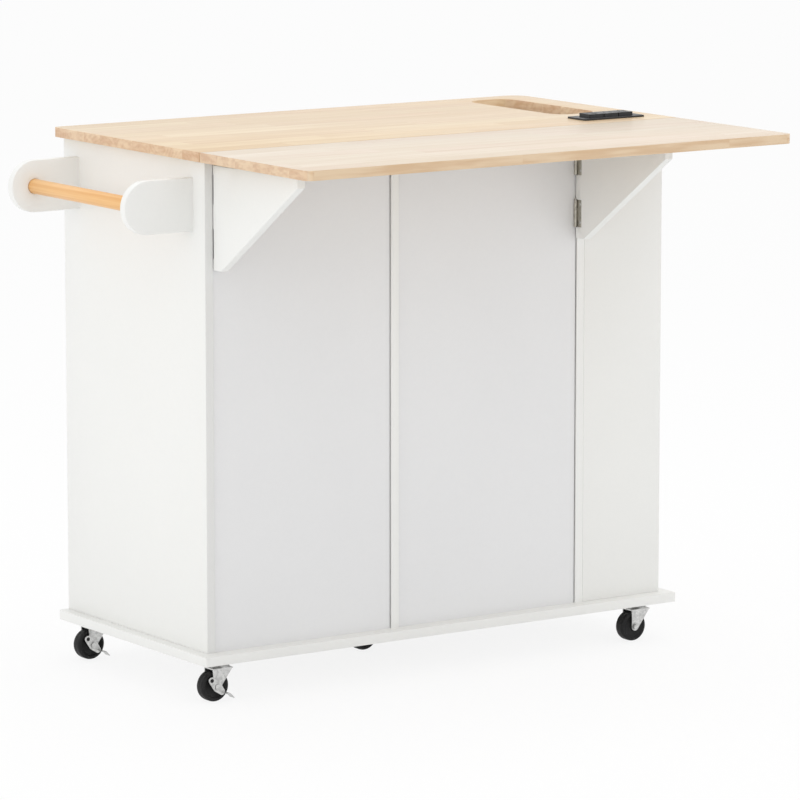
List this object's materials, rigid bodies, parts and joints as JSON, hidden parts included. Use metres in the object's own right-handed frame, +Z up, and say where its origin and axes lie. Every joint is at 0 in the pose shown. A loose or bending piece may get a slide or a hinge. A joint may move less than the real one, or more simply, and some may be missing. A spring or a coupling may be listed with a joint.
{
  "type": "drop leaf kitchen island",
  "caption": "Rolling kitchen island with a hinged drop leaf on fold-out brackets, waste slot over an open bay, power strip, towel rail, doors and drawers.",
  "frame": {"origin": "middle of the footprint's box at floor level", "axes": "+Z up, +Y towards the drop leaf, -Y towards the doors, +X towards the towel rail"},
  "size_m": [1.077, 0.808, 0.923],
  "materials": {
    "white_board": "painted board, satin white",
    "back_panel": "thin painted board, pale grey white",
    "light_oak": "edge-glued light hardwood, clear satin lacquer",
    "pine_rail": "turned rail, clear lacquer",
    "zinc_steel": "zinc plated pressed steel",
    "knob_nickel": "brushed nickel",
    "wheel_black": "moulded, matte black",
    "black_plastic": "moulded, satin black"
  },
  "bodies": {
    "cabinet": {"base_board": "white_board", "rail_end_panel": "white_board", "inner_divider": "white_board", "bay_divider": "white_board", "back_panels": "back_panel", "bay_back_board": "white_board", "bay_front_board": "white_board", "top_stretchers": "white_board", "front_rails": "white_board", "hinge_battens": "white_board", "main_top": "light_oak", "power_strip_housing": "black_plastic", "power_sockets": "black_plastic", "leaf_hinge_fixed": "zinc_steel", "bracket_hinge_fixed": "zinc_steel", "hinge_pins": "zinc_steel", "towel_arms": "white_board", "towel_rail": "pine_rail", "door_hinge_fixed": "zinc_steel", "runner_channels": "zinc_steel", "shelves": "white_board", "shelf_pins": "zinc_steel", "caster_mounts": "zinc_steel"},
    "drop_leaf_body": {"drop_leaf": "light_oak", "leaf_hinge_moving": "zinc_steel"},
    "rail_bracket_body": {"rail_bracket": "white_board", "rail_bracket_hinge": "zinc_steel"},
    "bay_bracket_body": {"bay_bracket": "white_board", "bay_bracket_hinge": "zinc_steel"},
    "rail_door_body": {"rail_door": "white_board", "rail_door_hinge": "zinc_steel", "rail_door_knob": "knob_nickel"},
    "mid_door_body": {"mid_door": "white_board", "mid_door_hinge": "zinc_steel", "mid_door_knob": "knob_nickel"},
    "rail_drawer_body": {"rail_drawer_front": "white_board", "rail_drawer_box": "white_board", "rail_drawer_bottom": "back_panel", "rail_drawer_knob": "knob_nickel", "rail_drawer_slides": "zinc_steel"},
    "mid_drawer_body": {"mid_drawer_front": "white_board", "mid_drawer_box": "white_board", "mid_drawer_bottom": "back_panel", "mid_drawer_knob": "knob_nickel", "mid_drawer_slides": "zinc_steel"},
    "fork_1_body": {"fork_1": "zinc_steel"},
    "wheel_1_body": {"wheel_1": "wheel_black"},
    "fork_2_body": {"fork_2": "zinc_steel"},
    "wheel_2_body": {"wheel_2": "wheel_black"},
    "fork_3_body": {"fork_3": "zinc_steel"},
    "wheel_3_body": {"wheel_3": "wheel_black"},
    "fork_4_body": {"fork_4": "zinc_steel"},
    "wheel_4_body": {"wheel_4": "wheel_black"},
    "fork_5_body": {"fork_5": "zinc_steel"},
    "wheel_5_body": {"wheel_5": "wheel_black"},
    "brake_lever_1_body": {"brake_lever_1": "zinc_steel"},
    "brake_lever_2_body": {"brake_lever_2": "zinc_steel"}
  },
  "joints": [
    {"name": "leaf_lift", "type": "hinge", "parent": "cabinet", "child": "drop_leaf_body", "pos_m": [-0.0555, 0.085, 0.8947], "axis": [1, 0, 0], "range_deg": [0, 5]},
    {"name": "rail_bracket_fold", "type": "hinge", "parent": "cabinet", "child": "rail_bracket_body", "pos_m": [0.378, 0.0693, 0.808], "axis": [0, 0, 1], "range_deg": [0, 90]},
    {"name": "bay_bracket_fold", "type": "hinge", "parent": "cabinet", "child": "bay_bracket_body", "pos_m": [-0.336, 0.0693, 0.808], "axis": [0, 0, -1], "range_deg": [0, 90]},
    {"name": "rail_door_swing", "type": "hinge", "parent": "cabinet", "child": "rail_door_body", "pos_m": [0.3918, -0.3833, 0.412], "axis": [0, 0, 1], "range_deg": [0, 110]},
    {"name": "mid_door_swing", "type": "hinge", "parent": "cabinet", "child": "mid_door_body", "pos_m": [-0.3378, -0.3833, 0.412], "axis": [0, 0, -1], "range_deg": [0, 110]},
    {"name": "rail_drawer_slide", "type": "slide", "parent": "cabinet", "child": "rail_drawer_body", "axis": [0, -1, 0], "range_m": [0, 0.3]},
    {"name": "mid_drawer_slide", "type": "slide", "parent": "cabinet", "child": "mid_drawer_body", "axis": [0, -1, 0], "range_m": [0, 0.3]},
    {"name": "caster_1_swivel", "type": "hinge", "parent": "cabinet", "child": "fork_1_body", "pos_m": [0.3745, 0.057, 0.062], "axis": [0, 0, 1], "continuous": true},
    {"name": "wheel_1_spin", "type": "hinge", "parent": "fork_1_body", "child": "wheel_1_body", "pos_m": [0.3915, 0.057, 0.026], "axis": [0, 1, 0], "continuous": true},
    {"name": "caster_2_swivel", "type": "hinge", "parent": "cabinet", "child": "fork_2_body", "pos_m": [0.3745, -0.342, 0.062], "axis": [0, 0, 1], "continuous": true},
    {"name": "wheel_2_spin", "type": "hinge", "parent": "fork_2_body", "child": "wheel_2_body", "pos_m": [0.3915, -0.342, 0.026], "axis": [0, 1, 0], "continuous": true},
    {"name": "caster_3_swivel", "type": "hinge", "parent": "cabinet", "child": "fork_3_body", "pos_m": [-0.4855, 0.057, 0.062], "axis": [0, 0, 1], "continuous": true},
    {"name": "wheel_3_spin", "type": "hinge", "parent": "fork_3_body", "child": "wheel_3_body", "pos_m": [-0.4685, 0.057, 0.026], "axis": [0, 1, 0], "continuous": true},
    {"name": "caster_4_swivel", "type": "hinge", "parent": "cabinet", "child": "fork_4_body", "pos_m": [-0.4855, -0.342, 0.062], "axis": [0, 0, 1], "continuous": true},
    {"name": "wheel_4_spin", "type": "hinge", "parent": "fork_4_body", "child": "wheel_4_body", "pos_m": [-0.4685, -0.342, 0.026], "axis": [0, 1, 0], "continuous": true},
    {"name": "caster_5_swivel", "type": "hinge", "parent": "cabinet", "child": "fork_5_body", "pos_m": [-0.0555, -0.1425, 0.062], "axis": [0, 0, 1], "continuous": true},
    {"name": "wheel_5_spin", "type": "hinge", "parent": "fork_5_body", "child": "wheel_5_body", "pos_m": [-0.0385, -0.1425, 0.026], "axis": [0, 1, 0], "continuous": true},
    {"name": "brake_1_release", "type": "hinge", "parent": "fork_1_body", "child": "brake_lever_1_body", "pos_m": [0.3915, 0.057, 0.026], "axis": [0, 1, 0], "range_deg": [0, 20]},
    {"name": "brake_2_release", "type": "hinge", "parent": "fork_2_body", "child": "brake_lever_2_body", "pos_m": [0.3915, -0.342, 0.026], "axis": [0, 1, 0], "range_deg": [0, 20]}
  ]
}
